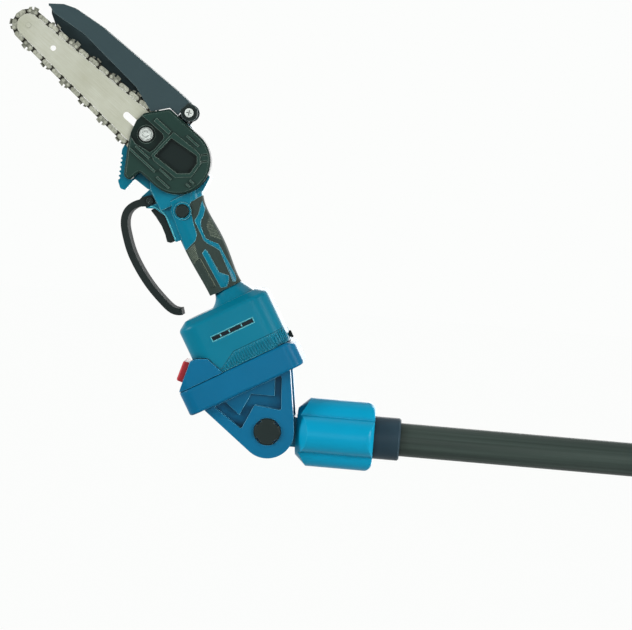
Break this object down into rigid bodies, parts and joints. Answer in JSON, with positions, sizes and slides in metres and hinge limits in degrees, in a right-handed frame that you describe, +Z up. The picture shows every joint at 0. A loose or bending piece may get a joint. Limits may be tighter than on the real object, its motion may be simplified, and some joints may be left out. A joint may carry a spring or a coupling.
{
  "type": "telescoping pole saw",
  "caption": "Cordless mini chainsaw on a tilting clevis at the end of a telescoping pole, with a rear handle and battery.",
  "frame": {"origin": "on the pole's axis, midway along the bare stretch of the lower tube where the forward hand holds it", "axes": "+X along the pole from the saw to the rear handle, +Z up, and the saw's cover side faces -Y"},
  "size_m": [1.3938, 0.076, 0.4639],
  "materials": {
    "teal_plastic": "satin moulded",
    "black_plastic": "fine texture",
    "slate_plastic": "satin moulded",
    "grip_rubber": "fine ribbing",
    "blue_plastic": "satin moulded",
    "cyan_plastic": "semi-gloss moulded",
    "red_plastic": "satin moulded",
    "window_plastic": "smoked",
    "graphite_tube": "satin anodised",
    "bar_steel": "ground",
    "chain_steel": "oiled",
    "zinc_steel": "bright zinc",
    "drive_steel": "machined",
    "spring_steel": "drawn wire",
    "terminal_brass": "plain",
    "switch_plastic": "plain",
    "cell_metal": "sleeved",
    "cable_sheath": "plain"
  },
  "bodies": {
    "lower_pole": {"lower_tube": "graphite_tube", "lower_collet": "black_plastic", "rear_shell_near": "teal_plastic", "rear_shell_far": "teal_plastic", "rear_grip": "grip_rubber", "rear_switch": "switch_plastic", "rear_terminals": "terminal_brass", "rear_screws": "zinc_steel", "rear_trigger_spring": "spring_steel", "power_cable": "cable_sheath"},
    "telescope_lock": {"telescope_collar": "cyan_plastic"},
    "upper_pole": {"upper_tube": "graphite_tube", "slide_bush": "black_plastic", "pole_ferrule": "slate_plastic", "swivel_tongue": "slate_plastic"},
    "head_lock": {"head_collar": "cyan_plastic"},
    "head": {"clevis": "blue_plastic", "adapter_case": "blue_plastic", "pivot_bolt": "zinc_steel", "pivot_spring": "spring_steel"},
    "tilt_button": {"pivot_button": "black_plastic"},
    "adapter_latch": {"adapter_button": "red_plastic"},
    "saw": {"housing_near": "teal_plastic", "housing_far": "teal_plastic", "handle_grip": "grip_rubber", "charge_window": "window_plastic", "saw_switch": "switch_plastic", "trigger_spring": "spring_steel", "knuckle_guard": "black_plastic", "knuckle_screw": "zinc_steel", "strap_post": "black_plastic", "saw_terminals": "terminal_brass", "housing_screws": "zinc_steel", "side_cover": "black_plastic", "bar_stud": "zinc_steel", "bar_nut": "zinc_steel", "guide_bar": "bar_steel", "nose_rivet": "zinc_steel", "chain_drive_links": "chain_steel", "chain_straps": "chain_steel", "chain_cutters": "chain_steel", "chain_rivets": "chain_steel", "motor_can": "drive_steel", "spindle_bearings": "drive_steel", "guard_bracket": "black_plastic", "guard_screw": "zinc_steel"},
    "trigger": {"saw_trigger": "black_plastic"},
    "lock_off": {"lock_off_button": "black_plastic"},
    "drive": {"drive_sprocket": "drive_steel", "drive_spindle": "drive_steel", "drive_gear": "drive_steel"},
    "pinion": {"motor_pinion": "drive_steel"},
    "nose_wheel": {"nose_sprocket": "drive_steel"},
    "guard": {"chain_guard": "slate_plastic"},
    "rear_pull": {"rear_trigger": "black_plastic"},
    "battery": {"battery_case": "black_plastic", "battery_lid": "black_plastic", "battery_cells": "cell_metal"},
    "battery_latch": {"battery_button": "red_plastic"}
  },
  "joints": [
    {"name": "pole_slide", "type": "slide", "parent": "lower_pole", "child": "upper_pole", "axis": [-1, 0, 0], "range_m": [-0.24, 0.173], "deforming": ["power_cable"]},
    {"name": "telescope_twist", "type": "hinge", "parent": "lower_pole", "child": "telescope_lock", "pos_m": [-0.2345, 0, 0], "axis": [1, 0, 0], "range_deg": [0, 90]},
    {"name": "head_collar_twist", "type": "hinge", "parent": "upper_pole", "child": "head_lock", "pos_m": [-0.5835, 0, 0], "axis": [1, 0, 0], "range_deg": [0, 90]},
    {"name": "head_pivot", "type": "hinge", "parent": "upper_pole", "child": "head", "pos_m": [-0.6475, 0, 0], "axis": [0, 1, 0], "range_deg": [-60, 10]},
    {"name": "tilt_button_press", "type": "slide", "parent": "head", "child": "tilt_button", "axis": [0, 1, 0], "range_m": [0, 0.005], "stiffness_N_per_m": 600, "springref_m": -0.005, "deforming": ["pivot_spring"]},
    {"name": "adapter_latch_press", "type": "slide", "parent": "head", "child": "adapter_latch", "axis": [0.9601, 0, -0.2798], "range_m": [0, 0.004], "stiffness_N_per_m": 500, "springref_m": -0.004},
    {"name": "saw_slide", "type": "slide", "parent": "head", "child": "saw", "axis": [0.866, 0, 0.5], "range_m": [0, 0.09]},
    {"name": "trigger_pull", "type": "slide", "parent": "saw", "child": "trigger", "axis": [0.866, 0, 0.5], "range_m": [0, 0.005], "stiffness_N_per_m": 500, "springref_m": -0.005, "deforming": ["trigger_spring"]},
    {"name": "lock_off_press", "type": "slide", "parent": "saw", "child": "lock_off", "axis": [0, 1, 0], "range_m": [0, 0.004], "stiffness_N_per_m": 500, "springref_m": -0.004},
    {"name": "drive_spin", "type": "hinge", "parent": "saw", "child": "drive", "pos_m": [-0.75242, 0, 0.24596], "axis": [0, 1, 0], "continuous": true},
    {"name": "pinion_spin", "type": "hinge", "parent": "saw", "child": "pinion", "pos_m": [-0.76335, 0, 0.23293], "axis": [0, 1, 0], "continuous": true},
    {"name": "nose_spin", "type": "hinge", "parent": "saw", "child": "nose_wheel", "pos_m": [-0.90445, 0, 0.36388], "axis": [0, 1, 0], "continuous": true},
    {"name": "guard_flip", "type": "hinge", "parent": "saw", "child": "guard", "pos_m": [-0.74506, 0, 0.29378], "axis": [0, 1, 0], "range_deg": [0, 60]},
    {"name": "rear_trigger_pull", "type": "slide", "parent": "lower_pole", "child": "rear_pull", "axis": [0, 0, 1], "range_m": [0, 0.005], "stiffness_N_per_m": 500, "springref_m": -0.005, "deforming": ["rear_trigger_spring"]},
    {"name": "battery_slide", "type": "slide", "parent": "lower_pole", "child": "battery", "axis": [0, 0, -1], "range_m": [0, 0.09]},
    {"name": "battery_latch_press", "type": "slide", "parent": "battery", "child": "battery_latch", "axis": [0.7223, 0, 0.6916], "range_m": [0, 0.004], "stiffness_N_per_m": 500, "springref_m": -0.004}
  ],
  "couplings": [
    {"joint": "pinion_spin", "follows": "drive_spin", "ratio": -2.4},
    {"joint": "nose_spin", "follows": "drive_spin", "ratio": 0.77778}
  ]
}
